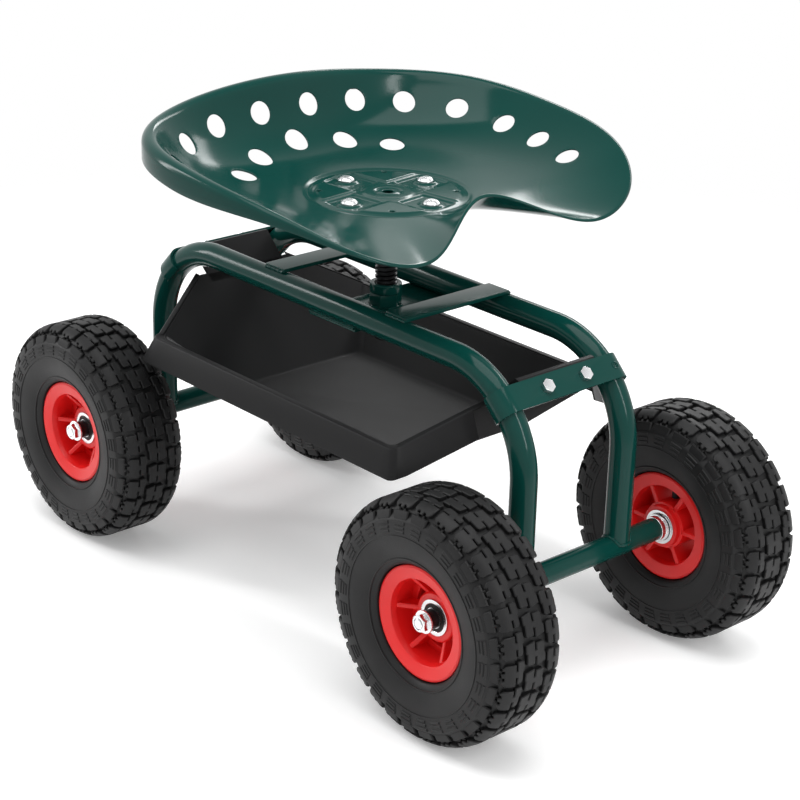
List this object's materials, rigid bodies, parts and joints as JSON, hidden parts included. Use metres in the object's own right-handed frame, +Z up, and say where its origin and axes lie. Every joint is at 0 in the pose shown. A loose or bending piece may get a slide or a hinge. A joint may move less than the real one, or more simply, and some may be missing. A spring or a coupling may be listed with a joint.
{
  "type": "rolling garden seat",
  "caption": "Rolling work seat: pressed steel pan on a height screw over a bent tube frame with a hopper tool tray and pneumatic wheels with ribbed rims.",
  "frame": {"origin": "on the floor, below the middle of the overall box", "axes": "+X along the side rails to the seat's front, +Y to the sitter's left, +Z up"},
  "size_m": [0.8612, 0.5106, 0.5452],
  "materials": {
    "green_paint": "gloss powder coat",
    "black_steel": "black oxide",
    "zinc": "bright zinc plate",
    "bright_steel": "ground",
    "tyre_rubber": "matt",
    "tube_rubber": "matt",
    "red_plastic": "gloss",
    "black_plastic": "fine grain"
  },
  "bodies": {
    "frame": {"axle_bolts": "zinc", "axle_sleeves": "black_steel", "axle_spindles": "bright_steel", "axle_tube_front": "green_paint", "axle_tube_rear": "green_paint", "axle_washers": "zinc", "bearing_inner_rings": "bright_steel", "cross_bar_front": "green_paint", "cross_bar_rear": "green_paint", "end_strap_front": "green_paint", "end_strap_rear": "green_paint", "height_nut": "green_paint", "hub_spacers": "bright_steel", "seat_plate": "green_paint", "side_rail_left": "green_paint", "side_rail_right": "green_paint", "tool_tray": "black_plastic", "tray_bolts": "zinc", "tray_nuts": "zinc", "tray_washers": "zinc"},
    "wheel_front_right": {"tyre_front_right": "tyre_rubber", "inner_tube_front_right": "tube_rubber", "rim_front_right": "red_plastic", "bearing_rings_front_right": "bright_steel", "bearing_balls_front_right": "bright_steel", "valve_stem_front_right": "tube_rubber"},
    "wheel_front_left": {"tyre_front_left": "tyre_rubber", "inner_tube_front_left": "tube_rubber", "rim_front_left": "red_plastic", "bearing_rings_front_left": "bright_steel", "bearing_balls_front_left": "bright_steel", "valve_stem_front_left": "tube_rubber"},
    "wheel_rear_right": {"tyre_rear_right": "tyre_rubber", "inner_tube_rear_right": "tube_rubber", "rim_rear_right": "red_plastic", "bearing_rings_rear_right": "bright_steel", "bearing_balls_rear_right": "bright_steel", "valve_stem_rear_right": "tube_rubber"},
    "wheel_rear_left": {"tyre_rear_left": "tyre_rubber", "inner_tube_rear_left": "tube_rubber", "rim_rear_left": "red_plastic", "bearing_rings_rear_left": "bright_steel", "bearing_balls_rear_left": "bright_steel", "valve_stem_rear_left": "tube_rubber"},
    "collar": {"thread_collar": "green_paint"},
    "seat": {"seat_bolts": "zinc", "seat_bracket": "green_paint", "seat_nuts": "zinc", "seat_pan": "green_paint", "seat_screw": "black_steel", "seat_washers": "zinc"}
  },
  "joints": [
    {"name": "wheel_front_right_spin", "type": "hinge", "parent": "frame", "child": "wheel_front_right", "pos_m": [0.3025, -0.175, 0.128], "axis": [0, 1, 0], "continuous": true},
    {"name": "wheel_front_left_spin", "type": "hinge", "parent": "frame", "child": "wheel_front_left", "pos_m": [0.3025, 0.175, 0.128], "axis": [0, 1, 0], "continuous": true},
    {"name": "wheel_rear_right_spin", "type": "hinge", "parent": "frame", "child": "wheel_rear_right", "pos_m": [-0.3025, -0.175, 0.128], "axis": [0, 1, 0], "continuous": true},
    {"name": "wheel_rear_left_spin", "type": "hinge", "parent": "frame", "child": "wheel_rear_left", "pos_m": [-0.3025, 0.175, 0.128], "axis": [0, 1, 0], "continuous": true},
    {"name": "seat_turn", "type": "hinge", "parent": "frame", "child": "collar", "pos_m": [0.01, 0, 0.355], "axis": [0, 0, 1], "range_deg": [-3600, 1440]},
    {"name": "seat_height", "type": "slide", "parent": "collar", "child": "seat", "axis": [0, 0, 1], "range_m": [-0.0501, 0.0201]}
  ],
  "couplings": [
    {"joint": "seat_height", "follows": "seat_turn", "m_per_rad": 0.00079577}
  ]
}
